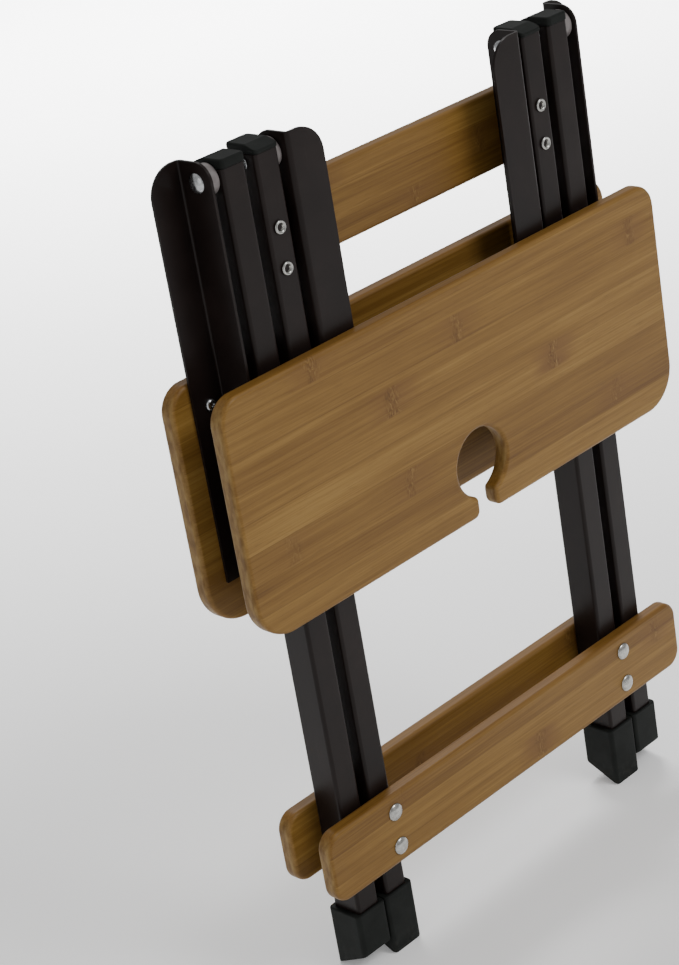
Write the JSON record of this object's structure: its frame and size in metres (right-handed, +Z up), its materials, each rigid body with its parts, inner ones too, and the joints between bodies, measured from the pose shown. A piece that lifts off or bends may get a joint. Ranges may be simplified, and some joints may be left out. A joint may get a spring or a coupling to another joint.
{
  "type": "folding tray table",
  "caption": "Folding tray table, stored folded: hinged bamboo leaves with a stemware notch hang on crossed metal tube legs joined by bamboo crossbars.",
  "frame": {"origin": "on the floor at the middle of the folded table's box, midway between the left and right legs", "axes": "+Z up along the folded legs, +X to the right along the crossbars, +Y from the front leaf (with the notch) to the back leaf"},
  "size_m": [0.43, 0.0572, 0.5912],
  "materials": {
    "bamboo": "satin clear coat",
    "brown_paint": "dark brown satin powder coat",
    "black_plastic": "matte moulded",
    "grey_nylon": "matte moulded",
    "zinc_steel": "bright plated"
  },
  "bodies": {
    "outer_frame": {"outer_leg_left": "brown_paint", "outer_leg_right": "brown_paint", "outer_leg_cap_left": "black_plastic", "outer_leg_cap_right": "black_plastic", "outer_foot_left": "black_plastic", "outer_foot_right": "black_plastic", "rear_crossbar": "bamboo", "rear_rivet_left_lower": "zinc_steel", "rear_rivet_left_upper": "zinc_steel", "rear_rivet_right_lower": "zinc_steel", "rear_rivet_right_upper": "zinc_steel", "scissor_pivot_left": "zinc_steel", "scissor_pivot_right": "zinc_steel", "scissor_spacer_left": "grey_nylon", "scissor_spacer_right": "grey_nylon", "back_leaf_pivot_left": "zinc_steel", "back_leaf_pivot_right": "zinc_steel", "back_leaf_spacer_left": "grey_nylon", "back_leaf_spacer_right": "grey_nylon"},
    "inner_frame": {"inner_leg_left": "brown_paint", "inner_leg_right": "brown_paint", "inner_leg_cap_left": "black_plastic", "inner_leg_cap_right": "black_plastic", "inner_foot_left": "black_plastic", "inner_foot_right": "black_plastic", "top_crossbar": "bamboo", "front_crossbar": "bamboo", "top_rivet_left_lower": "zinc_steel", "top_rivet_left_upper": "zinc_steel", "top_rivet_right_lower": "zinc_steel", "top_rivet_right_upper": "zinc_steel", "front_rivet_left_lower": "zinc_steel", "front_rivet_left_upper": "zinc_steel", "front_rivet_right_lower": "zinc_steel", "front_rivet_right_upper": "zinc_steel", "front_leaf_pivot_left": "zinc_steel", "front_leaf_pivot_right": "zinc_steel", "front_leaf_spacer_left": "grey_nylon", "front_leaf_spacer_right": "grey_nylon"},
    "front_leaf_assembly": {"front_leaf": "bamboo", "front_leaf_rail_left": "brown_paint", "front_leaf_rail_right": "brown_paint", "front_leaf_screw_left_lower": "zinc_steel", "front_leaf_screw_left_upper": "zinc_steel", "front_leaf_screw_right_lower": "zinc_steel", "front_leaf_screw_right_upper": "zinc_steel"},
    "back_leaf_assembly": {"back_leaf": "bamboo", "back_leaf_rail_left": "brown_paint", "back_leaf_rail_right": "brown_paint", "back_leaf_screw_left_lower": "zinc_steel", "back_leaf_screw_left_upper": "zinc_steel", "back_leaf_screw_right_lower": "zinc_steel", "back_leaf_screw_right_upper": "zinc_steel"}
  },
  "joints": [
    {"name": "leg_fold", "type": "hinge", "parent": "outer_frame", "child": "inner_frame", "pos_m": [0, 0, 0.29], "axis": [-1, 0, 0], "range_deg": [0, 30]},
    {"name": "front_leaf_hinge", "type": "hinge", "parent": "inner_frame", "child": "front_leaf_assembly", "pos_m": [0, 0, 0.578], "axis": [-1, 0, 0], "range_deg": [0, 108]},
    {"name": "back_leaf_hinge", "type": "hinge", "parent": "outer_frame", "child": "back_leaf_assembly", "pos_m": [0, 0, 0.578], "axis": [1, 0, 0], "range_deg": [0, 108]}
  ],
  "couplings": [
    {"joint": "front_leaf_hinge", "follows": "leg_fold", "ratio": 3.6},
    {"joint": "back_leaf_hinge", "follows": "leg_fold", "ratio": 3.6}
  ]
}
